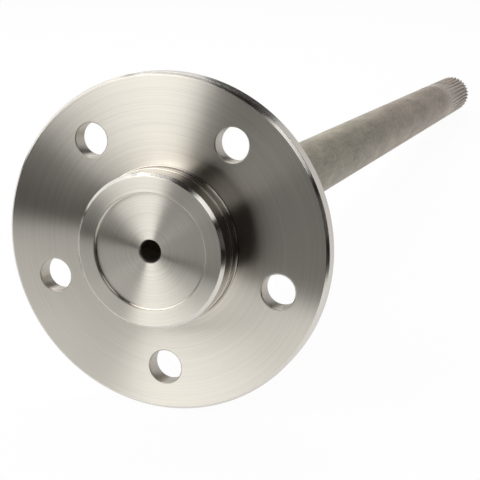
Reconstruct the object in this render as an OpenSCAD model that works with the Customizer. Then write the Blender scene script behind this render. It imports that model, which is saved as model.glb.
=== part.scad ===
// Flanged axle shaft: one steel forging, machined at the wheel flange, its pilots,
// the bearing seat and the splined inner end.
// It is drawn upright about Z, with the wheel face at Z = 0 and the shaft below it,
// then laid down as it rests on a floor: on the flange's rim and the splined end.

/* [Flange] */
// Diameter of the wheel flange
flange_d = 154.5; // [144:0.5:180]
// Thickness of the flange
flange_t = 9; // [6:0.5:14]
// Chamfer on the rim, wheel side
rim_chamfer = 1.2; // [0.4:0.1:2.4]
// Chamfer on the rim, back side
rim_break = 0.8; // [0.2:0.1:2]

/* [Stud holes] */
// Number of stud holes
stud_count = 5; // [3:1:6]
// Diameter of the circle through the stud holes
stud_circle_d = 114.3; // [108:0.1:122]
// Diameter of a stud hole
stud_hole_d = 15.5; // [12:0.1:18]
// Chamfer on both edges of a stud hole
stud_hole_break = 0.4; // [0.1:0.1:1.5]
// Angle of the first stud hole from straight below the axis
stud_clock = 2.1; // [-60:0.1:60]

/* [Pilots] */
// Diameter of the brake drum's pilot, next to the flange
drum_pilot_d = 71.1; // [62:0.1:80]
// Height of the drum pilot above the wheel face
drum_pilot_h = 6.4; // [3:0.1:10]
// Fillet at the foot of the drum pilot
drum_pilot_fillet = 0.8; // [0.2:0.1:2]
// Diameter of the wheel's pilot
wheel_pilot_d = 70.3; // [60:0.1:80]
// Height of the wheel pilot above the wheel face
wheel_pilot_h = 15.7; // [12:0.1:24]
// Chamfer on the front edge of the wheel pilot
wheel_pilot_chamfer = 1.5; // [0.3:0.1:2.5]
// Diameter of the recess in the wheel pilot's front
recess_d = 52.8; // [30:0.1:56]
// Depth of that recess
recess_depth = 1.4; // [1.2:0.1:6]
// Radius between the recess wall and its floor
recess_corner = 0.5; // [0.2:0.1:1.1]

/* [Hub and bearing seat] */
// Diameter of the hub behind the flange, at its end
hub_d = 66; // [56:0.5:74]
// Length of the hub behind the flange
hub_len = 10; // [6.5:0.5:20]
// Fillet between the flange and the hub
hub_fillet = 5; // [1:0.5:8]
// Diameter of the shoulder that the bearing stops against
shoulder_d = 51; // [47:0.5:60]
// Length of the shoulder
shoulder_len = 10; // [4:0.5:25]
// Chamfer on the edges of the hub and the shoulder
shoulder_chamfer = 1; // [0.2:0.1:2]
// Diameter of the bearing seat
bearing_d = 39.7; // [38:0.1:43]
// Length of the bearing seat, with room for its retaining ring
bearing_len = 46; // [20:1:80]
// Fillet between the shoulder and the bearing seat
bearing_fillet = 2; // [0.4:0.1:2.8]
// Lead chamfer at the inner end of the bearing seat
bearing_chamfer = 1.2; // [0.2:0.1:1.4]

/* [Shaft] */
// Diameter of the plain shaft
shaft_d = 35; // [30:0.1:37]
// Distance from the wheel face to the splined end
reach = 778; // [500:1:900]
// Length of the taper from the bearing seat down to the shaft
taper_len = 18; // [6:1:60]

/* [Spline] */
// Number of spline teeth
spline_teeth = 32; // [28:1:34]
// Diametral pitch, in teeth to the inch
spline_pitch = 24; // [23:1:28]
// Length of the splined end, with the run-out
spline_len = 108; // [40:1:160]
// Plain band on the splined end before the teeth begin
spline_land = 1; // [0.2:0.1:5]
// Pressure angle of the involute flanks
pressure_angle = 30; // [25:0.5:37.5]
// Radius of the cutter that leaves the run-out
cutter_r = 36; // [15:1:60]
// Chamfer on the splined end
spline_chamfer = 2.4; // [0.5:0.1:4]
// Diameter of the turned neck between the shaft and the splined end
neck_d = 34; // [32:0.1:34.8]
// Length of that neck
neck_len = 7; // [2:0.5:20]
// Length of the bevel at each end of the neck
neck_bevel = 1.2; // [0.5:0.1:6]

/* [Lathe centres] */
// Mouth of the centre hole at the wheel end
front_mouth_d = 10.8; // [10:0.1:20]
// Drilled diameter of the centre hole at the wheel end
front_drill_d = 9.9; // [4:0.1:9.9]
// Depth of the centre hole at the wheel end
front_drill_depth = 24; // [12:1:60]
// Mouth of the centre hole at the splined end
end_mouth_d = 11; // [7:0.1:16]
// Drilled diameter of the centre hole at the splined end
end_drill_d = 5; // [2:0.1:6.5]
// Depth of the centre hole at the splined end
end_drill_depth = 16; // [14:1:40]

/* [Hidden] */
$fn = 128;
inch = 25.4;
// how far cutters and fillers run past the faces that they meet
overlap = 0.5;
// half angles of a lathe centre and of a drill's point
centre_half_angle = 30;
drill_half_angle = 59;
// straight steps along each involute flank
flank_steps = 5;

flange_r = flange_d / 2;
drum_pilot_r = drum_pilot_d / 2;
wheel_pilot_r = wheel_pilot_d / 2;
recess_r = recess_d / 2;
hub_r = hub_d / 2;
shoulder_r = shoulder_d / 2;
bearing_r = bearing_d / 2;
shaft_r = shaft_d / 2;
neck_r = neck_d / 2;

// stations along the shaft, from the wheel face
hub_end = flange_t + hub_len;
shoulder_end = hub_end + shoulder_len;
bearing_end = shoulder_end + bearing_len;
taper_end = bearing_end + taper_len;
spline_start = reach - spline_len;
neck_end = spline_start - neck_bevel;
neck_start = neck_end - neck_len;
teeth_start = spline_start + spline_land;

// spline by its diametral pitch, with fillet-root depth
spline_pitch_r = spline_teeth * inch / spline_pitch / 2;
spline_r = (spline_teeth + 1) * inch / spline_pitch / 2;
spline_root_r = (spline_teeth - 1.8) * inch / spline_pitch / 2;
spline_base_r = spline_pitch_r * cos(pressure_angle);
spline_depth = spline_r - spline_root_r;
runout_len = sqrt(2 * cutter_r * spline_depth - spline_depth * spline_depth);

// dip of the axis when the rim's back edge and the splined end touch the floor
lie_angle = atan2(flange_r - spline_r, reach - spline_chamfer - flange_t + rim_break);

// Involute function, in degrees
function involute(angle) = tan(angle) * 180 / PI - angle;

// Half the angle that a spline tooth spans at a radius
function tooth_half_angle(r) =
    90 / spline_teeth + involute(pressure_angle) - involute(acos(spline_base_r / r));

// Point of a tooth's flank at a radius, on the side +1 or -1
function flank_point(r, side) =
    [r * cos(tooth_half_angle(r)), side * r * sin(tooth_half_angle(r))];

// Filler of a concave corner in a section, rounded to a radius. The section lies on the two
// sides of the corner, and the filler grows along +X and along +Y, or -Y if it turns down.
module corner_fill(corner, radius, down = false) {
    translate(corner)
        rotate(down ? -90 : 0)
            difference() {
                translate([-overlap, -overlap])
                    square(radius + overlap);
                translate([radius, radius])
                    circle(radius);
            }
}

// Half section of the wheel pilot's recess, with a round between wall and floor
module recess_section() {
    translate([0, wheel_pilot_h - recess_depth]) {
        square([recess_r - recess_corner, recess_depth + overlap]);
        translate([0, recess_corner])
            square([recess_r, recess_depth - recess_corner + overlap]);
        intersection() {
            square(recess_r);
            translate([recess_r - recess_corner, recess_corner])
                circle(recess_corner);
        }
    }
}

// Half section of the turned forging, without holes and spline teeth
module turned_section() {
    union() {
        difference() {
            polygon([
                [0, -reach],
                [spline_r - spline_chamfer, -reach],
                [spline_r, spline_chamfer - reach],
                [spline_r, -spline_start],
                [neck_r, -neck_end],
                [neck_r, -neck_start],
                [shaft_r, neck_bevel - neck_start],
                [shaft_r, -taper_end],
                [bearing_r - bearing_chamfer, -bearing_end],
                [bearing_r, bearing_chamfer - bearing_end],
                [bearing_r, -shoulder_end],
                [shoulder_r - shoulder_chamfer, -shoulder_end],
                [shoulder_r, shoulder_chamfer - shoulder_end],
                [shoulder_r, -hub_end],
                [hub_r - shoulder_chamfer, -hub_end],
                [hub_r, shoulder_chamfer - hub_end],
                [hub_r, -flange_t],
                [flange_r - rim_break, -flange_t],
                [flange_r, rim_break - flange_t],
                [flange_r, -rim_chamfer],
                [flange_r - rim_chamfer, 0],
                [drum_pilot_r, 0],
                [drum_pilot_r, drum_pilot_h],
                [wheel_pilot_r, drum_pilot_h],
                [wheel_pilot_r, wheel_pilot_h - wheel_pilot_chamfer],
                [wheel_pilot_r - wheel_pilot_chamfer, wheel_pilot_h],
                [0, wheel_pilot_h]
            ]);
            recess_section();
        }
        corner_fill([drum_pilot_r, 0], drum_pilot_fillet);
        corner_fill([hub_r, -flange_t], hub_fillet, down = true);
        corner_fill([bearing_r, -shoulder_end], bearing_fillet, down = true);
    }
}

// A stud hole through the flange, with both edges broken
module stud_hole() {
    hole_r = stud_hole_d / 2;
    cone_h = stud_hole_break + overlap;
    translate([0, 0, -flange_t - overlap])
        cylinder(r = hole_r, h = flange_t + 2 * overlap);
    translate([0, 0, -stud_hole_break])
        cylinder(r1 = hole_r, r2 = hole_r + cone_h, h = cone_h);
    translate([0, 0, -flange_t - overlap])
        cylinder(r1 = hole_r + cone_h, r2 = hole_r, h = cone_h);
}

module stud_holes() {
    for (i = [0 : stud_count - 1])
        rotate(stud_clock - 90 + i * 360 / stud_count)
            translate([stud_circle_d / 2, 0, 0])
                stud_hole();
}

// A lathe centre: its countersink opens at Z = 0, and its drilled end points down
module lathe_centre(mouth_d, drill_d, depth) {
    mouth_r = mouth_d / 2;
    drill_r = drill_d / 2;
    cone_h = (mouth_r - drill_r) / tan(centre_half_angle);
    rotate_extrude()
        polygon([
            [0, overlap],
            [mouth_r, overlap],
            [mouth_r, 0],
            [drill_r, -cone_h],
            [drill_r, -depth],
            [0, -depth - drill_r / tan(drill_half_angle)]
        ]);
}

module lathe_centres() {
    translate([0, 0, wheel_pilot_h - recess_depth])
        lathe_centre(front_mouth_d, front_drill_d, front_drill_depth);
    translate([0, 0, -reach])
        mirror([0, 0, 1])
            lathe_centre(end_mouth_d, end_drill_d, end_drill_depth);
}

// A tooth from below the root circle to past the outer circle, along +X
module spline_tooth() {
    low_r = max(spline_base_r, spline_root_r - overlap);
    step = (spline_r + overlap - low_r) / flank_steps;
    right = [for (i = [0 : flank_steps]) flank_point(low_r + i * step, -1)];
    left = [for (i = [flank_steps : -1 : 0]) flank_point(low_r + i * step, 1)];
    polygon(concat(right, left));
}

module spline_section() {
    intersection() {
        circle(spline_r);
        union() {
            circle(spline_root_r);
            for (i = [0 : spline_teeth - 1])
                rotate(i * 360 / spline_teeth - 90)
                    spline_tooth();
        }
    }
}

// What the cutter leaves as it climbs out of the gaps, above the spline's full depth
module runout_core() {
    rotate_extrude()
        translate([0, -teeth_start - runout_len])
            difference() {
                square([spline_r + overlap, runout_len + overlap]);
                translate([spline_root_r + cutter_r, 0])
                    circle(cutter_r);
            }
}

// The gaps between the spline teeth, as one cutter
module spline_gaps() {
    difference() {
        translate([0, 0, -reach - overlap])
            linear_extrude(reach - teeth_start + overlap)
                difference() {
                    circle(spline_r + overlap);
                    spline_section();
                }
        runout_core();
    }
}

module axle_shaft() {
    color("#9a958d")
        rotate([90 - lie_angle, 0, 0])
            difference() {
                rotate_extrude()
                    turned_section();
                stud_holes();
                lathe_centres();
                spline_gaps();
            }
}

axle_shaft();
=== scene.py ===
"""Looks of the axle shaft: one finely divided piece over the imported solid, with its steel finishes,
and a plain studio stage."""

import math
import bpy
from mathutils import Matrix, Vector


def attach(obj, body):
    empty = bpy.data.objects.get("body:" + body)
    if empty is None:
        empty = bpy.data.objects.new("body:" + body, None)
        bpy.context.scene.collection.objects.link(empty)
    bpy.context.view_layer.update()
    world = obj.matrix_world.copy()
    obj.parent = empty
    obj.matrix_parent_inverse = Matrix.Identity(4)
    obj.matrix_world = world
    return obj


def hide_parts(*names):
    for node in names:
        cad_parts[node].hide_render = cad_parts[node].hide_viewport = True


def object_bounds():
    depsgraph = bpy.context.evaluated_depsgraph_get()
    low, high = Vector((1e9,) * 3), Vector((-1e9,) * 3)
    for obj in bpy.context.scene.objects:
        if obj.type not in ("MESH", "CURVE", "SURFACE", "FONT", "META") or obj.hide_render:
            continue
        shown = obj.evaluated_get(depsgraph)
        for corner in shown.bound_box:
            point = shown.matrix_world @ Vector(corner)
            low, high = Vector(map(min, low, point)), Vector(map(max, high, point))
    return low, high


bl_info = {
    "name": "Axle Shaft",
    "version": (1, 0, 0),
    "blender": (4, 5, 0),
    "location": "3D View > Sidebar > Axle Shaft",
    "description": "Builds a flanged axle shaft with its steel finishes, and a studio stage to show it on",
    "category": "Add Mesh",
}

import bpy
from bpy.props import FloatProperty, FloatVectorProperty, IntProperty, PointerProperty, StringProperty
from mathutils import Matrix, Vector
from mathutils.geometry import delaunay_2d_cdt

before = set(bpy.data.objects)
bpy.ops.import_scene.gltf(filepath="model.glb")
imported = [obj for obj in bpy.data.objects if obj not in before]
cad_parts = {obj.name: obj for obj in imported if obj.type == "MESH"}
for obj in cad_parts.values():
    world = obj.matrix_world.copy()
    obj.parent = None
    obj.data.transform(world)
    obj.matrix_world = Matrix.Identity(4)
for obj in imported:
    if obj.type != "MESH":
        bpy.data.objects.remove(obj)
cad_box = [list(corner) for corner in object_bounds()]

MM = 0.001
TINY = 1e-7
FINISHES = ("turned", "ground", "fine turned", "coarse turned", "drilled", "forged", "hobbed")

# A spline of 24 teeth to an inch of pitch diameter: each tooth adds this much to the pitch radius, in mm
SPLINE_TEETH = 32
TOOTH_MM = 25.4 / 24 / 2

# Slopes that tools leave: a 60 degree lathe centre and a 118 degree drill point
CENTRE_SLOPE = math.tan(math.radians(60 / 2))
DRILL_SLOPE = math.tan(math.radians(118 / 2))

# Steps of a round in the section, and of one that is only a broken edge. No round takes more than a share of
# either side
ROUND_STEPS = 8
EDGE_STEPS = 3
EDGE_LIMIT = 0.5 * MM
ARC_SHARE = 0.45

# A stretch longer than this has a ring a little way in from either end
LONG_STRETCH = 1.2 * MM
RING_INSET = 0.3 * MM

# Steps of a tooth's flank, of a tooth with the gap after it, and of the run-out
FLANK_STEPS = 3
TOOTH_STEPS = 2 * (FLANK_STEPS + 3)
RUNOUT_STEPS = 8

# Points round a stud hole, steps of its rounded edge, and width of the strip of face beside that
HOLE_POINTS = 72
HOLE_EDGE_STEPS = 5
HOLE_STRIP = 0.25 * MM

# Faces that meet at more than this angle are shaded as a sharp edge
SHARP_ANGLE = math.radians(32)

# Tool marks are really about 0.2 mm apart and grains of scale finer still. Both are too fine to show,
# so they are drawn as coarse as they need to show
LATHE_MARKS = 0.7 * MM
BAR_MARKS = 2.0 * MM
SCALE_GRAINS = 1.8 * MM

# Scale lies in patches, longer along the bar than round it, with grains and marks over them
SCALE_PATCHES = 14 * MM
DRAWN_OUT = 0.35
GRAIN_SHARE = 0.35
MARK_SHARE = 0.2
SCALE_HEIGHT = 0.1 * MM

# The scale's colour drifts along the shaft: a noise, changed by this much a metre, mixes two colours over
# this range
SCALE_DRIFT = 60 * MM
DRIFT_PER_METRE = -1.2
DRIFT_RANGE = (-0.3, 0.2)

# A noise texture stays mostly within this span on either side of its middle
NOISE_MIDDLE = 0.5
NOISE_SPAN = 0.2

# How far the tool marks stray from true rings, as a share of the place on the shaft
RING_WAVER = 0.008

# Sockets of a colour Mix node, by number because several of them share a name
MIX_FACTOR, MIX_A, MIX_B, MIX_RESULT = 0, 6, 7, 2

# The stage, in metres. The floor ends a little in front of the flange, whose bright faces mirror the dim
# room beyond it. The backdrop hangs lower on the left, so that the rim shades off towards its top
STAGE_HALF = 6
BACKDROP_Y = 4.5
FLOOR_OUTLINE = (
    (STAGE_HALF, 0.35), (STAGE_HALF, BACKDROP_Y), (-STAGE_HALF, BACKDROP_Y), (-STAGE_HALF, -0.05),
    (-0.67, -0.05), (-0.611, -0.285), (-0.516, -0.433), (-0.39, -0.53), (0.45, 0.07))
BACKDROP_OUTLINE = (
    (STAGE_HALF, 0), (-STAGE_HALF, 0), (-STAGE_HALF, 0.55), (-1.5, 0.6), (0.3, 1.05), (0.8, 1.95),
    (STAGE_HALF, 1.95))
SENSOR_MM = 36

# Each lamp's name, place, what it is turned to, width and height, and watts
FLANGE_SPOT = (0.0, 0.0, 0.0)
LAMPS = (
    ("main softbox", (-0.621, -0.702, 0.749), FLANGE_SPOT, (1.075, 1.276), 11.56),
    ("right softbox", (0.711, -0.520, 0.818), FLANGE_SPOT, (0.66, 0.6), 1.94),
    ("right fill", (1.138, -0.340, 0.175), FLANGE_SPOT, (0.5, 0.4), 0.075),
    ("left softbox", (-1.032, 0.238, 0.563), FLANGE_SPOT, (0.78, 1.04), 3.19),
    ("top softbox", (-0.370, -0.032, 1.141), FLANGE_SPOT, (0.8, 0.7), 1.0),
    ("back left softbox", (-0.9, 1.4, 0.8), (0.0, 0.55, 0.0), (1.4, 1.2), 5.5),
    ("shaft softbox", (-0.35, 0.95, 1.3), (0.0, 0.6, 0.0), (1.1, 0.9), 12.0),
)


def length(name, description, mm):
    """A length property, with its default given in millimetres."""
    return FloatProperty(
        name=name, description=description, default=mm * MM, min=0.0, unit="LENGTH", precision=4)


def share(name, description, value):
    """A property that runs from 0 to 1."""
    return FloatProperty(
        name=name, description=description, default=value, min=0.0, max=1.0, subtype="FACTOR")


def hex_colour(name, description, value):
    """A colour property, as an sRGB hex code."""
    return StringProperty(name=name, description=description, default=value)


def angle(name, description, degrees):
    """An angle property, with its default given in degrees."""
    return FloatProperty(
        name=name, description=description, default=math.radians(degrees), subtype="ANGLE")


class AxleSizes(bpy.types.PropertyGroup):
    """Sizes of the shaft, the same as those of the solid it stands for."""

    flange_r: length("Flange radius", "Radius of the wheel flange", 77.25)
    flange_t: length("Flange thickness", "Thickness of the wheel flange", 9)
    rim_chamfer: length("Rim chamfer", "Chamfer on the rim, wheel side", 1.2)
    rim_break: length("Rim break", "Chamfer on the rim, back side", 0.8)
    stud_circle_r: length("Stud circle radius", "Radius of the circle through the stud holes", 57.15)
    stud_hole_r: length("Stud hole radius", "Radius of a stud hole", 7.75)
    stud_hole_break: length("Stud hole break", "Round on the edges of a stud hole", 0.45)
    stud_count: IntProperty(name="Stud holes", description="Number of stud holes", default=5, min=3, max=8)
    stud_clock: angle("Stud clocking", "Angle of the first stud hole from straight below the axis", 2.1)
    drum_pilot_r: length("Drum pilot radius", "Radius of the brake drum's pilot", 35.55)
    drum_pilot_h: length("Drum pilot height", "Height of the drum pilot above the wheel face", 6.4)
    drum_pilot_fillet: length("Drum pilot fillet", "Fillet at the foot of the drum pilot", 0.8)
    wheel_pilot_r: length("Wheel pilot radius", "Radius of the wheel's pilot", 35.15)
    wheel_pilot_h: length("Wheel pilot height", "Height of the wheel pilot above the wheel face", 15.7)
    wheel_pilot_chamfer: length("Wheel pilot chamfer", "Chamfer on the wheel pilot's front edge", 1.5)
    recess_r: length("Recess radius", "Radius of the recess in the wheel pilot's front", 26.4)
    recess_depth: length("Recess depth", "Depth of the recess", 1.4)
    recess_corner: length("Recess corner", "Radius between the recess wall and its floor", 0.5)
    hub_r: length("Hub radius", "Radius of the hub behind the flange", 33)
    hub_len: length("Hub length", "Length of the hub behind the flange", 10)
    hub_fillet: length("Hub fillet", "Fillet between the flange and the hub", 5)
    shoulder_r: length("Shoulder radius", "Radius of the bearing's shoulder", 25.5)
    shoulder_len: length("Shoulder length", "Length of the bearing's shoulder", 10)
    shoulder_chamfer: length("Shoulder chamfer", "Chamfer on the hub's and the shoulder's edges", 1)
    bearing_r: length("Bearing seat radius", "Radius of the bearing seat", 19.85)
    bearing_len: length("Bearing seat length", "Length of the bearing seat", 46)
    bearing_fillet: length("Bearing seat fillet", "Fillet between the shoulder and the bearing seat", 2)
    bearing_chamfer: length("Bearing seat chamfer", "Lead chamfer at the bearing seat's inner end", 1.2)
    shaft_r: length("Shaft radius", "Radius of the plain shaft", 17.5)
    reach: length("Reach", "Distance from the wheel face to the splined end", 778)
    taper_len: length("Taper length", "Length of the taper from the bearing seat to the shaft", 18)
    spline_teeth: IntProperty(
        name="Spline teeth", description="Number of spline teeth", default=SPLINE_TEETH, min=12, max=60)
    spline_pitch_r: length(
        "Spline pitch radius", "Radius of the spline's pitch circle", SPLINE_TEETH * TOOTH_MM)
    spline_r: length("Spline radius", "Radius over the spline teeth", (SPLINE_TEETH + 1) * TOOTH_MM)
    spline_root_r: length(
        "Spline root radius", "Radius of the floor between the spline teeth", (SPLINE_TEETH - 1.8) * TOOTH_MM)
    spline_len: length("Spline length", "Length of the splined end, with the run-out", 108)
    spline_land: length("Spline land", "Plain band before the teeth begin", 1)
    spline_chamfer: length("Spline chamfer", "Chamfer on the splined end", 2.4)
    pressure_angle: angle("Pressure angle", "Pressure angle of the involute flanks", 30)
    cutter_r: length("Cutter radius", "Radius of the cutter that leaves the run-out", 36)
    neck_r: length("Neck radius", "Radius of the neck before the spline", 17)
    neck_len: length("Neck length", "Length of the neck before the spline", 7)
    neck_bevel: length("Neck bevel", "Length of the bevel at each end of the neck", 1.2)
    front_mouth_r: length("Front centre mouth", "Mouth radius of the wheel end's centre hole", 5.4)
    front_drill_r: length("Front centre drill", "Drilled radius of the wheel end's centre hole", 4.95)
    front_drill_depth: length("Front centre depth", "Depth of the wheel end's centre hole", 24)
    end_mouth_r: length("End centre mouth", "Mouth radius of the splined end's centre hole", 5.5)
    end_drill_r: length("End centre drill", "Drilled radius of the splined end's centre hole", 2.5)
    end_drill_depth: length("End centre depth", "Depth of the splined end's centre hole", 16)
    edge_round: length("Edge round", "Round that handling leaves on turned edges", 0.15)


class AxleFinish(bpy.types.PropertyGroup):
    """Colours and roughness of the steel finishes."""

    turned_colour: hex_colour("Turned steel", "Colour of the turned faces", "E9E4D9")
    turned_rough: share("Turned roughness", "Roughness of the turned faces", 0.297)
    turned_grain: share("Turned grain", "How much the turning marks stretch a reflection", 1.0)
    fine_colour: hex_colour("Fine turned steel", "Colour of the finely turned pilots", "B0AAA2")
    fine_rough: share("Fine turned roughness", "Roughness of the finely turned pilots", 0.17)
    coarse_colour: hex_colour("Coarse turned steel", "Colour of the coarsely turned rim", "BAB4AB")
    coarse_rough: share("Coarse turned roughness", "Roughness of the coarsely turned rim", 0.24)
    ground_colour: hex_colour("Ground steel", "Colour of the ground bearing seat and the chamfers", "D6D2CB")
    ground_rough: share("Ground roughness", "Roughness of the ground bearing seat and the chamfers", 0.22)
    drilled_colour: hex_colour(
        "Drilled steel", "Colour of the walls of the drilled holes and the recess", "B4AEA4")
    drilled_rough: share(
        "Drilled roughness", "Roughness of the walls of the drilled holes and the recess", 0.4)
    forged_colour: hex_colour("Forged steel", "Colour of the shaft's dull forged skin", "B1A498")
    forged_tint: hex_colour("Forged tint", "Colour that the forged skin drifts to", "ABA494")
    forged_rough: share("Forged roughness", "Roughness of the forged skin", 0.58)
    hobbed_colour: hex_colour("Hobbed steel", "Colour of the cut spline teeth", "C4B9AD")
    hobbed_rough: share("Hobbed roughness", "Roughness of the cut spline teeth", 0.5)


class AxleStage(bpy.types.PropertyGroup):
    """The camera, the paper and the room."""

    azimuth: angle("Azimuth", "How far the camera stands to the right of the shaft's axis", 19.273)
    elevation: angle("Elevation", "How far the camera looks down", 16.914)
    distance: length("Distance", "Distance from the wheel face to the camera, along its view", 539.727)
    offset: FloatVectorProperty(
        name="Offset", description="How far the camera stands to the right of the wheel face and above it",
        size=2, default=(34.742 * MM, 2.195 * MM), unit="LENGTH")
    lens: FloatProperty(
        name="Lens", description="Focal length on a 36 mm sensor, in mm", default=90.218, min=1.0)
    floor_colour: hex_colour("Floor", "Colour of the floor and the backdrop", "F6F6F6")
    paper_glow: share("Paper glow", "How nearly plain white the camera and reflections see the paper", 0.96)
    room_colour: hex_colour("Room", "Colour of the dim room round the stage", "1A1716")


def corners(size):
    """Corners of the half section from one centre hole's end to the other's: station from the wheel face
    towards the splined end, radius, round at the corner, and finish of the stretch that follows."""
    edge = size.edge_round
    soft_edge = 2 * edge
    seat_end_round = 4 * edge
    taper_end_round = 20 * edge
    front = -size.wheel_pilot_h
    floor = front + size.recess_depth
    hub_end = size.flange_t + size.hub_len
    shoulder_end = hub_end + size.shoulder_len
    bearing_end = shoulder_end + size.bearing_len
    spline_start = size.reach - size.spline_len
    neck_end = spline_start - size.neck_bevel
    neck_start = neck_end - size.neck_len
    front_cone = (size.front_mouth_r - size.front_drill_r) / CENTRE_SLOPE
    end_cone = (size.end_mouth_r - size.end_drill_r) / CENTRE_SLOPE
    return [
        (floor + size.front_drill_depth + size.front_drill_r / DRILL_SLOPE, 0, 0, "drilled"),
        (floor + size.front_drill_depth, size.front_drill_r, 0, "drilled"),
        (floor + front_cone, size.front_drill_r, edge, "drilled"),
        (floor, size.front_mouth_r, edge, "turned"),
        (floor, size.recess_r, size.recess_corner, "drilled"),
        (front, size.recess_r, edge, "turned"),
        (front, size.wheel_pilot_r - size.wheel_pilot_chamfer, edge, "ground"),
        (front + size.wheel_pilot_chamfer, size.wheel_pilot_r, edge, "fine turned"),
        (-size.drum_pilot_h, size.wheel_pilot_r, edge, "turned"),
        (-size.drum_pilot_h, size.drum_pilot_r, edge, "fine turned"),
        (0, size.drum_pilot_r, size.drum_pilot_fillet, "holed"),
        (0, size.flange_r - size.rim_chamfer, edge, "ground"),
        (size.rim_chamfer, size.flange_r, edge, "coarse turned"),
        (size.flange_t - size.rim_break, size.flange_r, edge, "turned"),
        (size.flange_t, size.flange_r - size.rim_break, edge, "holed"),
        (size.flange_t, size.hub_r, size.hub_fillet, "turned"),
        (hub_end - size.shoulder_chamfer, size.hub_r, edge, "turned"),
        (hub_end, size.hub_r - size.shoulder_chamfer, edge, "turned"),
        (hub_end, size.shoulder_r, soft_edge, "turned"),
        (shoulder_end - size.shoulder_chamfer, size.shoulder_r, edge, "turned"),
        (shoulder_end, size.shoulder_r - size.shoulder_chamfer, edge, "turned"),
        (shoulder_end, size.bearing_r, size.bearing_fillet, "ground"),
        (bearing_end - size.bearing_chamfer, size.bearing_r, edge, "turned"),
        (bearing_end, size.bearing_r - size.bearing_chamfer, seat_end_round, "forged"),
        (bearing_end + size.taper_len, size.shaft_r, taper_end_round, "forged"),
        (neck_start - size.neck_bevel, size.shaft_r, soft_edge, "hobbed"),
        (neck_start, size.neck_r, soft_edge, "hobbed"),
        (neck_end, size.neck_r, soft_edge, "hobbed"),
        (spline_start, size.spline_r, edge, "hobbed"),
        (spline_start + size.spline_land, size.spline_r, 0, "hobbed"),
        (size.reach, size.spline_r - size.spline_chamfer, edge, "turned"),
        (size.reach, size.end_mouth_r, edge, "drilled"),
        (size.reach - end_cone, size.end_drill_r, edge, "drilled"),
        (size.reach - size.end_drill_depth, size.end_drill_r, 0, "drilled"),
        (size.reach - size.end_drill_depth - size.end_drill_r / DRILL_SLOPE, 0, 0, "drilled"),
    ]


def rounded(before, corner, after, radius, steps):
    """Points of a corner of the section, turned into an arc that touches both its sides."""
    a = (before - corner).normalized()
    b = (after - corner).normalized()
    half = a.angle(b) / 2
    shorter = min((before - corner).length, (after - corner).length)
    reach = min(radius / math.tan(half), ARC_SHARE * shorter)
    radius = reach * math.tan(half)
    centre = corner + (a + b).normalized() * radius / math.sin(half)
    start, end = corner + a * reach - centre, corner + b * reach - centre
    sweep = start.angle_signed(end)
    return [centre + Matrix.Rotation(-sweep * i / steps, 2) @ start for i in range(steps + 1)]


def edge_of(finish):
    """Finish of the narrow strips beside a stretch: those beside a face with holes are plain turned ones."""
    return "turned" if finish == "holed" else finish


def plain_rings(size):
    """Rings of the turned section, as (station, radius, finish of the stretch that follows). Each long flat
    or straight stretch has a ring close to either end, which keeps its shading true beside a round."""
    rows = corners(size)
    spots = [Vector((row[0], row[1])) for row in rows]
    rings = []
    for i, (_, _, round_r, finish) in enumerate(rows):
        before = rows[i - 1][3] if i else finish
        arc = [spots[i]]
        if round_r > 0:
            steps = ROUND_STEPS if round_r > EDGE_LIMIT else EDGE_STEPS
            arc = rounded(spots[i - 1], spots[i], spots[i + 1], round_r, steps)
        if rings:
            start = Vector(rings[-1][:2])
            span = arc[0] - start
            if span.length > LONG_STRETCH:
                step = span.normalized() * RING_INSET
                rings.append((*(start + step), before))
                rings.append((*(arc[0] - step), edge_of(before)))
        rings += [(*spot, edge_of(before)) for spot in arc[:-1]]
        rings.append((*arc[-1], edge_of(finish)))
    return rings


def involute(at):
    """The involute function."""
    return math.tan(at) - at


def tooth_half_angle(size, radius):
    """Half the angle that a spline tooth spans at a radius."""
    base = size.spline_pitch_r * math.cos(size.pressure_angle)
    return (math.pi / 2 / size.spline_teeth + involute(size.pressure_angle)
            - involute(math.acos(min(1.0, base / radius))))


def tooth_points(size, tip, floor):
    """(angle, radius) round one tooth and the gap after it, from the tooth's middle."""
    pitch = 2 * math.pi / size.spline_teeth
    if tip - floor < TINY:
        return [(pitch * i / TOOTH_STEPS, tip) for i in range(TOOTH_STEPS)]
    side = [(0.0, tip)]
    for i in range(FLANK_STEPS + 1):
        radius = tip + (floor - tip) * i / FLANK_STEPS
        side.append((tooth_half_angle(size, radius), radius))
    side.append(((side[-1][0] + pitch / 2) / 2, floor))
    return side + [(pitch / 2, floor)] + [(pitch - turn, radius) for turn, radius in side[:0:-1]]


def spline_outline(size, tip, floor, first):
    """Points round all the spline teeth, from the angle of the first one's middle."""
    pitch = 2 * math.pi / size.spline_teeth
    spots = []
    for k in range(size.spline_teeth):
        for turn, radius in tooth_points(size, tip, floor):
            turn += first + pitch * k
            spots.append((radius * math.cos(turn), radius * math.sin(turn)))
    return spots


def spline_rings(size):
    """Rings of the toothed stretch, as (station, radius over the teeth, radius of the gap's floor)."""
    depth = size.spline_r - size.spline_root_r
    runout = math.sqrt(2 * size.cutter_r * depth - depth * depth)
    start = size.reach - size.spline_len + size.spline_land
    rings = []
    for i in range(1, RUNOUT_STEPS + 1):
        left = runout * (1 - i / RUNOUT_STEPS)
        floor = size.spline_root_r + size.cutter_r - math.sqrt(size.cutter_r ** 2 - left ** 2)
        rings.append((start + runout - left, size.spline_r, floor))
    chamfer = size.reach - size.spline_chamfer
    for cut in (0, depth / 2, depth):
        rings.append((chamfer + cut, size.spline_r - cut, size.spline_root_r))
    return rings


def dip(size):
    """Angle by which the axis dips when the shaft lies on its rim and its splined end."""
    run = size.reach - size.spline_chamfer - size.flange_t + size.rim_break
    return math.atan2(size.flange_r - size.spline_r, run)


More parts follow.
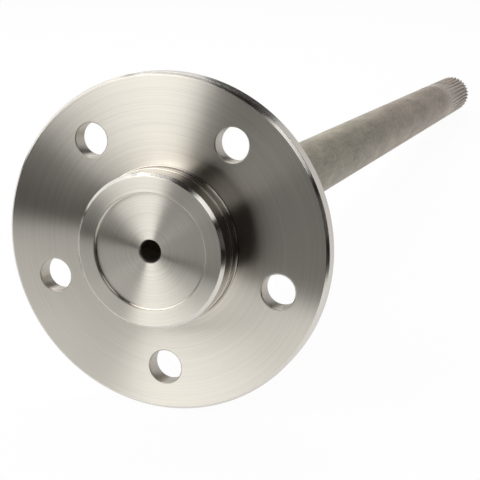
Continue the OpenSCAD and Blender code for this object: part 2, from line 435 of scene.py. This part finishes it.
def laid(size):
    """Matrix from the shaft's own axes (X, Y across, Z towards the wheel) to the row's frame."""
    return Matrix.Rotation(math.pi / 2 - dip(size), 4, "X")


class Skin:
    """Points and faces of a mesh while it is built, in the shaft's own axes."""

    def __init__(self):
        self.points, self.faces, self.finishes = [], [], []

    def ring(self, spots, station):
        """Adds points at a station and returns their numbers."""
        first = len(self.points)
        self.points += [(x, y, -station) for x, y in spots]
        return list(range(first, len(self.points)))

    def across(self, number):
        """A point's place across the axis."""
        return Vector(self.points[number][:2])

    def face(self, numbers, finish):
        """Adds one face."""
        self.faces.append(numbers)
        self.finishes.append(finish)

    def bridge(self, a, b, finish):
        """Joins two rings, or a ring and one point."""
        count = max(len(a), len(b))
        for i in range(count):
            j = (i + 1) % count
            if len(a) == 1:
                self.face((a[0], b[i], b[j]), finish)
            elif len(b) == 1:
                self.face((a[i], b[0], a[j]), finish)
            else:
                self.face((a[i], b[i], b[j], a[j]), finish)

    def fill(self, outer, inner, holes, finish, back):
        """Fills the flat face between two rings, but for the holes, each given as a ring."""
        numbers, edges, gaps = [], [], []
        for loop in (outer, inner, *holes):
            first = len(numbers)
            numbers += loop
            edges += [(first + i, first + (i + 1) % len(loop)) for i in range(len(loop))]
            if loop is not outer:
                centre = sum((self.across(n) for n in loop), Vector((0, 0))) / len(loop)
                gaps.append((centre, (self.across(loop[0]) - centre).length))
        flat = [self.across(n) for n in numbers]
        inside_outline, tolerance = 1, 1e-9
        for triangle in delaunay_2d_cdt(flat, edges, [], inside_outline, tolerance)[2]:
            middle = sum((flat[i] for i in triangle), Vector((0, 0))) / 3
            if all((middle - centre).length > radius for centre, radius in gaps):
                order = [numbers[i] for i in triangle]
                self.face(order[::-1] if back else order, finish)

    def build(self, name, place):
        """Makes the mesh object, with a material slot for every finish."""
        mesh = bpy.data.meshes.new(name)
        mesh.from_pydata([place @ Vector(point) for point in self.points], [], self.faces)
        for finish in FINISHES:
            mesh.materials.append(bpy.data.materials[finish + " steel"])
        mesh.polygons.foreach_set("material_index", [FINISHES.index(finish) for finish in self.finishes])
        mesh.shade_smooth()
        mesh.set_sharp_from_angle(angle=SHARP_ANGLE)
        obj = bpy.data.objects.new(name, mesh)
        bpy.context.scene.collection.objects.link(obj)
        return obj


def circle(radius, count, first=0.0, centre=(0.0, 0.0)):
    """Points of a circle, counterclockwise seen from the wheel side."""
    turns = [first + 2 * math.pi * i / count for i in range(count)]
    return [(centre[0] + radius * math.cos(turn), centre[1] + radius * math.sin(turn)) for turn in turns]


def stud_hole_rings(size):
    """(station, radius) up a stud hole from the back face to the front, with rounded edges."""
    flare = size.stud_hole_break
    front = [(0.0, size.stud_hole_r + flare + HOLE_STRIP)]
    for i in range(HOLE_EDGE_STEPS + 1):
        turn = math.pi / 2 * i / HOLE_EDGE_STEPS
        front.append((flare - flare * math.cos(turn), size.stud_hole_r + flare - flare * math.sin(turn)))
    back = [(size.flange_t - station, radius) for station, radius in front]
    return back + front[::-1]


def stud_holes(skin, size):
    """Adds the walls of the stud holes, and returns the rings where they meet the flange's back and front."""
    backs, fronts = [], []
    for k in range(size.stud_count):
        turn = size.stud_clock - math.pi / 2 + 2 * math.pi * k / size.stud_count
        centre = (size.stud_circle_r * math.cos(turn), size.stud_circle_r * math.sin(turn))
        rings = []
        for station, radius in stud_hole_rings(size):
            rings.append(skin.ring(circle(radius, HOLE_POINTS, 0, centre), station))
        for i in range(len(rings) - 1):
            on_face = i in (0, len(rings) - 2)
            skin.bridge(rings[i], rings[i + 1], "turned" if on_face else "drilled")
        backs.append(rings[0])
        fronts.append(rings[-1])
    return backs, fronts


def linear(code):
    """An sRGB hex code as linear colour values."""
    values = []
    for i in (0, 2, 4):
        value = int(code[i:i + 2], 16) / 255
        values.append(value / 12.92 if value <= 0.04045 else ((value + 0.055) / 1.055) ** 2.4)
    return (*values, 1.0)


def node(tree, kind, settings=None, inputs=None):
    """Adds a shader node. An input is a value, or (node, output) to link from."""
    made = tree.nodes.new(kind)
    for key, value in (settings or {}).items():
        setattr(made, key, value)
    for key, value in (inputs or {}).items():
        if isinstance(value, tuple) and isinstance(value[0], bpy.types.Node):
            tree.links.new(value[0].outputs[value[1]], made.inputs[key])
        else:
            made.inputs[key].default_value = value
    return made


def emptied(material):
    """The node tree of a material, without the nodes that Blender puts there."""
    material.use_nodes = True
    material.node_tree.nodes.clear()
    return material.node_tree


def steel(name, axis, colour, rough, grain=0.0, rings=0.0, shade=0.0, metal=1.0, mottle=0.0, tint=None,
          spacing=LATHE_MARKS):
    """A steel finish, with tool marks round the axis at a spacing. grain stretches reflections across the
    marks, rings and shade set how much the marks vary the roughness and the colour, metal how bare the steel
    is, mottle how strongly scale varies the colour, and tint the colour that the scale drifts to."""
    tree = emptied(bpy.data.materials.new(name + " steel"))
    place = node(tree, "ShaderNodeTexCoord")
    along = node(tree, "ShaderNodeVectorMath", {"operation": "DOT_PRODUCT"}, {0: (place, "Object"), 1: axis})
    round_axis = node(tree, "ShaderNodeVectorMath", {"operation": "CROSS_PRODUCT"}, {
        0: axis, 1: (place, "Object")})
    out = node(tree, "ShaderNodeVectorMath", {"operation": "LENGTH"}, {0: (round_axis, "Vector")})
    section = node(tree, "ShaderNodeCombineXYZ", None, {0: (along, "Value"), 1: (out, "Value")})
    wavering = node(tree, "ShaderNodeVectorMath", {"operation": "MULTIPLY_ADD"}, {
        0: (place, "Object"), 1: (RING_WAVER, RING_WAVER, RING_WAVER), 2: (section, "Vector")})
    marks = node(tree, "ShaderNodeTexNoise", None, {
        "Vector": (wavering, "Vector"), "Scale": 1 / spacing, "Detail": 2.0, "Roughness": 0.7})
    marks_range = {
        "Value": (marks, "Fac"), "From Min": NOISE_MIDDLE - NOISE_SPAN, "From Max": NOISE_MIDDLE + NOISE_SPAN}
    rough_range = node(tree, "ShaderNodeMapRange", None, {
        **marks_range, "To Min": rough * (1 - rings), "To Max": rough * (1 + rings)})
    shader = node(tree, "ShaderNodeBsdfPrincipled", None, {
        "Metallic": metal, "Base Color": linear(colour), "Roughness": (rough_range, "Result")})
    if grain:
        # The tangent runs along the marks, and a quarter turn stretches reflections across them
        shader.inputs["Anisotropic"].default_value = grain
        shader.inputs["Anisotropic Rotation"].default_value = 0.25
        tree.links.new(round_axis.outputs["Vector"], shader.inputs["Tangent"])
    if shade:
        tone = node(tree, "ShaderNodeMapRange", None, {
            **marks_range, "To Min": 1 - shade, "To Max": 1 + shade})
        shaded = node(tree, "ShaderNodeMix", {"data_type": "RGBA", "blend_type": "MULTIPLY"}, {
            MIX_FACTOR: 1.0, MIX_A: linear(colour), MIX_B: (tone, "Result")})
        tree.links.new(shaded.outputs[MIX_RESULT], shader.inputs["Base Color"])
    if mottle:
        add_scale(tree, shader, place, along, marks, (linear(colour), linear(tint or colour)), mottle)
    node(tree, "ShaderNodeOutputMaterial", None, {"Surface": (shader, "BSDF")})


def add_scale(tree, shader, place, along, marks, colours, mottle):
    """Covers a steel shader with scale: patches and grains that lie drawn out along the bar, with its marks
    over them, and a drift from the second colour behind the flange to the first at the splined end."""
    drawn = node(tree, "ShaderNodeVectorMath", {"operation": "MULTIPLY"}, {
        0: (place, "Object"), 1: (1, DRAWN_OUT, 1)})
    patches = node(tree, "ShaderNodeTexNoise", None, {
        "Vector": (drawn, "Vector"), "Scale": 1 / SCALE_PATCHES, "Detail": 7.0, "Roughness": 0.75})
    grains = node(tree, "ShaderNodeTexNoise", None, {
        "Vector": (drawn, "Vector"), "Scale": 1 / SCALE_GRAINS, "Detail": 1.0})
    speckled = node(tree, "ShaderNodeMath", {"operation": "MULTIPLY_ADD"}, {
        0: (grains, "Fac"), 1: GRAIN_SHARE, 2: (patches, "Fac")})
    both = node(tree, "ShaderNodeMath", {"operation": "MULTIPLY_ADD"}, {
        0: (marks, "Fac"), 1: MARK_SHARE, 2: (speckled, "Value")})
    middle = NOISE_MIDDLE * (1 + GRAIN_SHARE + MARK_SHARE)
    tone = node(tree, "ShaderNodeMapRange", None, {
        "Value": (both, "Value"), "From Min": middle - NOISE_SPAN, "From Max": middle + NOISE_SPAN,
        "To Min": 1 - mottle, "To Max": 1 + mottle})
    drift = node(tree, "ShaderNodeTexNoise", None, {
        "Vector": (drawn, "Vector"), "Scale": 1 / SCALE_DRIFT, "Detail": 3.0})
    fade = node(tree, "ShaderNodeMath", {"operation": "MULTIPLY_ADD"}, {
        0: (along, "Value"), 1: DRIFT_PER_METRE, 2: (drift, "Fac")})
    hue = node(tree, "ShaderNodeMapRange", None, {
        "Value": (fade, "Value"), "From Min": DRIFT_RANGE[0], "From Max": DRIFT_RANGE[1]})
    base = node(tree, "ShaderNodeMix", {"data_type": "RGBA"}, {
        MIX_FACTOR: (hue, "Result"), MIX_A: colours[0], MIX_B: colours[1]})
    tinted = node(tree, "ShaderNodeMix", {"data_type": "RGBA", "blend_type": "MULTIPLY"}, {
        MIX_FACTOR: 1.0, MIX_A: (base, MIX_RESULT), MIX_B: (tone, "Result")})
    tree.links.new(tinted.outputs[MIX_RESULT], shader.inputs["Base Color"])
    bump = node(tree, "ShaderNodeBump", None, {
        "Height": (both, "Value"), "Strength": 0.2, "Distance": SCALE_HEIGHT})
    tree.links.new(bump.outputs["Normal"], shader.inputs["Normal"])


class AXLE_OT_finishes(bpy.types.Operator):
    """Makes the steel finishes"""

    bl_idname = "axle.finishes"
    bl_label = "Make finishes"

    def execute(self, context):
        finish = context.scene.axle_finish
        axis = laid(context.scene.axle_sizes).to_3x3() @ Vector((0, 0, -1))
        # Lathe-turned faces: rings that stretch every reflection into a bright or dark wedge
        steel("turned", axis, finish.turned_colour, finish.turned_rough, finish.turned_grain,
              rings=0.045, shade=0.055)
        # The finer cut of the pilots: a darker, closer sheen than the faces have
        steel("fine turned", axis, finish.fine_colour, finish.fine_rough, 0.6, rings=0.08)
        # The coarser cut of the rim: duller than the faces, with the surroundings smeared in it
        steel("coarse turned", axis, finish.coarse_colour, finish.coarse_rough, 0.3, rings=0.1)
        # The ground bearing seat, and chamfers cut as bright: a crisp shine
        steel("ground", axis, finish.ground_colour, finish.ground_rough, 0.8, rings=0.08)
        # Walls of the drilled holes and the recess: plain grey, with no clear reflection
        steel("drilled", axis, finish.drilled_colour, finish.drilled_rough, rings=0.2)
        # Skin of the forging: dull and mottled, greyish behind the flange and brownish further on
        steel("forged", axis, finish.forged_colour, finish.forged_rough, rings=0.1, metal=0.4, mottle=0.3,
              tint=finish.forged_tint, spacing=BAR_MARKS)
        # Hobbed teeth and the neck before them: dull, and close in tone to the skin
        steel("hobbed", axis, finish.hobbed_colour, finish.hobbed_rough, rings=0.1, metal=0.35, mottle=0.1)
        return {"FINISHED"}


class AXLE_OT_shaft(bpy.types.Operator):
    """Builds the shaft: flange, pilots, bearing seat, plain shaft and spline, all of one piece"""

    bl_idname = "axle.shaft"
    bl_label = "Build shaft"

    def execute(self, context):
        size = context.scene.axle_sizes
        skin = Skin()
        count = size.spline_teeth * TOOTH_STEPS
        below = -math.pi / 2
        rings = []
        toothed = spline_rings(size)
        for station, radius, finish in plain_rings(size):
            if toothed and station >= size.reach - size.edge_round:
                for spot, tip, floor in toothed:
                    rings.append((skin.ring(spline_outline(size, tip, floor, below), spot), "hobbed"))
                toothed = None
            spots = [(0.0, 0.0)] if radius < TINY else circle(radius, count, below)
            rings.append((skin.ring(spots, station), finish))
        backs, fronts = stud_holes(skin, size)
        for (a, finish), (b, _) in zip(rings, rings[1:]):
            if finish != "holed":
                skin.bridge(a, b, finish)
            elif skin.across(a[0]).length < skin.across(b[0]).length:
                skin.fill(b, a, fronts, "turned", False)
            else:
                skin.fill(a, b, backs, "turned", True)
        shaft = skin.build("axle_shaft_piece", laid(size))
        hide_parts("axle_shaft")
        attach(shaft, "root")
        return {"FINISHED"}


def white_paper(stage):
    """Matt white paper, which the camera and reflections see nearly plain white, with a trace of shadow."""
    paper = bpy.data.materials.new("white paper")
    tree = emptied(paper)
    ray = node(tree, "ShaderNodeLightPath")
    mirrored = node(tree, "ShaderNodeMath", {"operation": "MAXIMUM"}, {
        0: (ray, "Is Glossy Ray"), 1: (ray, "Is Transmission Ray")})
    seen = node(tree, "ShaderNodeMath", {"operation": "MAXIMUM"}, {
        0: (ray, "Is Camera Ray"), 1: (mirrored, "Value")})
    part = node(tree, "ShaderNodeMath", {"operation": "MULTIPLY"}, {0: (seen, "Value"), 1: stage.paper_glow})
    matt = node(tree, "ShaderNodeBsdfDiffuse", None, {"Color": linear(stage.floor_colour)})
    glow = node(tree, "ShaderNodeEmission", None, {"Strength": 1.0})
    both = node(tree, "ShaderNodeMixShader", None, {
        0: (part, "Value"), 1: (matt, "BSDF"), 2: (glow, "Emission")})
    node(tree, "ShaderNodeOutputMaterial", None, {"Surface": (both, "Shader")})
    return paper


def lay_paper(scene, stage):
    """Lays the floor under the shaft and hangs the backdrop behind it."""
    low = cad_box[0][2]
    sheets = {
        "floor": [(x, y, low) for x, y in FLOOR_OUTLINE],
        "backdrop": [(x, BACKDROP_Y, low + height) for x, height in BACKDROP_OUTLINE],
    }
    paper = white_paper(stage)
    for name, spots in sheets.items():
        mesh = bpy.data.meshes.new(name)
        mesh.from_pydata(spots, [], [range(len(spots))])
        mesh.materials.append(paper)
        sheet = bpy.data.objects.new(name, mesh)
        scene.collection.objects.link(sheet)


def dim_room(scene, stage):
    """Puts the dim room round the stage."""
    world = bpy.data.worlds.new("dim room")
    world.use_nodes = True
    world.node_tree.nodes["Background"].inputs["Color"].default_value = linear(stage.room_colour)
    scene.world = world


def hang_lamps(scene):
    """Hangs the softboxes, which the camera itself doesn't see."""
    for name, spot, target, extent, power in LAMPS:
        lamp = bpy.data.lights.new(name, "AREA")
        lamp.shape = "RECTANGLE"
        lamp.size, lamp.size_y = extent
        lamp.energy = power
        obj = bpy.data.objects.new(name, lamp)
        obj.location = spot
        obj.visible_camera = False
        obj.rotation_euler = (Vector(target) - Vector(spot)).to_track_quat("-Z", "Y").to_euler()
        scene.collection.objects.link(obj)


def set_camera(scene, stage):
    """Stands the camera in front of the flange, to the right of the axis and above it."""
    side, tilt = stage.azimuth, stage.elevation
    right = Vector((math.cos(side), math.sin(side), 0))
    ahead = Vector((-math.sin(side) * math.cos(tilt), math.cos(side) * math.cos(tilt), -math.sin(tilt)))
    up = right.cross(ahead)
    camera = bpy.data.cameras.new("camera")
    camera.lens = stage.lens
    camera.sensor_width = SENSOR_MM
    obj = bpy.data.objects.new("camera", camera)
    obj.matrix_world = Matrix((right, up, -ahead)).transposed().to_4x4()
    obj.location = right * stage.offset[0] + up * stage.offset[1] - ahead * stage.distance
    scene.collection.objects.link(obj)
    scene.camera = obj


class AXLE_OT_stage(bpy.types.Operator):
    """Sets up the floor, the backdrop, the room, the lamps and the camera"""

    bl_idname = "axle.stage"
    bl_label = "Set stage"

    def execute(self, context):
        scene = context.scene
        lay_paper(scene, scene.axle_stage)
        dim_room(scene, scene.axle_stage)
        hang_lamps(scene)
        set_camera(scene, scene.axle_stage)
        scene.view_settings.view_transform = "Standard"
        return {"FINISHED"}


class AXLE_PT_panel(bpy.types.Panel):
    """Sizes, finishes and the steps that build the shaft"""

    bl_idname = "AXLE_PT_panel"
    bl_label = "Axle Shaft"
    bl_space_type = "VIEW_3D"
    bl_region_type = "UI"
    bl_category = "Axle Shaft"

    def draw(self, context):
        for group in (context.scene.axle_sizes, context.scene.axle_finish, context.scene.axle_stage):
            box = self.layout.box()
            for key in group.__annotations__:
                box.prop(group, key)
        for step in ("axle.finishes", "axle.shaft", "axle.stage"):
            self.layout.operator(step)


CLASSES = (AxleSizes, AxleFinish, AxleStage, AXLE_OT_finishes, AXLE_OT_shaft, AXLE_OT_stage, AXLE_PT_panel)


def register():
    """Registers the classes, and gives the scene their properties."""
    for cls in CLASSES:
        bpy.utils.register_class(cls)
    bpy.types.Scene.axle_sizes = PointerProperty(type=AxleSizes)
    bpy.types.Scene.axle_finish = PointerProperty(type=AxleFinish)
    bpy.types.Scene.axle_stage = PointerProperty(type=AxleStage)


def unregister():
    """Undoes what register does."""
    del bpy.types.Scene.axle_sizes
    del bpy.types.Scene.axle_finish
    del bpy.types.Scene.axle_stage
    for cls in reversed(CLASSES):
        bpy.utils.unregister_class(cls)


def main():
    """Builds everything."""
    register()
    bpy.ops.axle.finishes()
    bpy.ops.axle.shaft()
    bpy.ops.axle.stage()


if __name__ == "__main__":
    main()
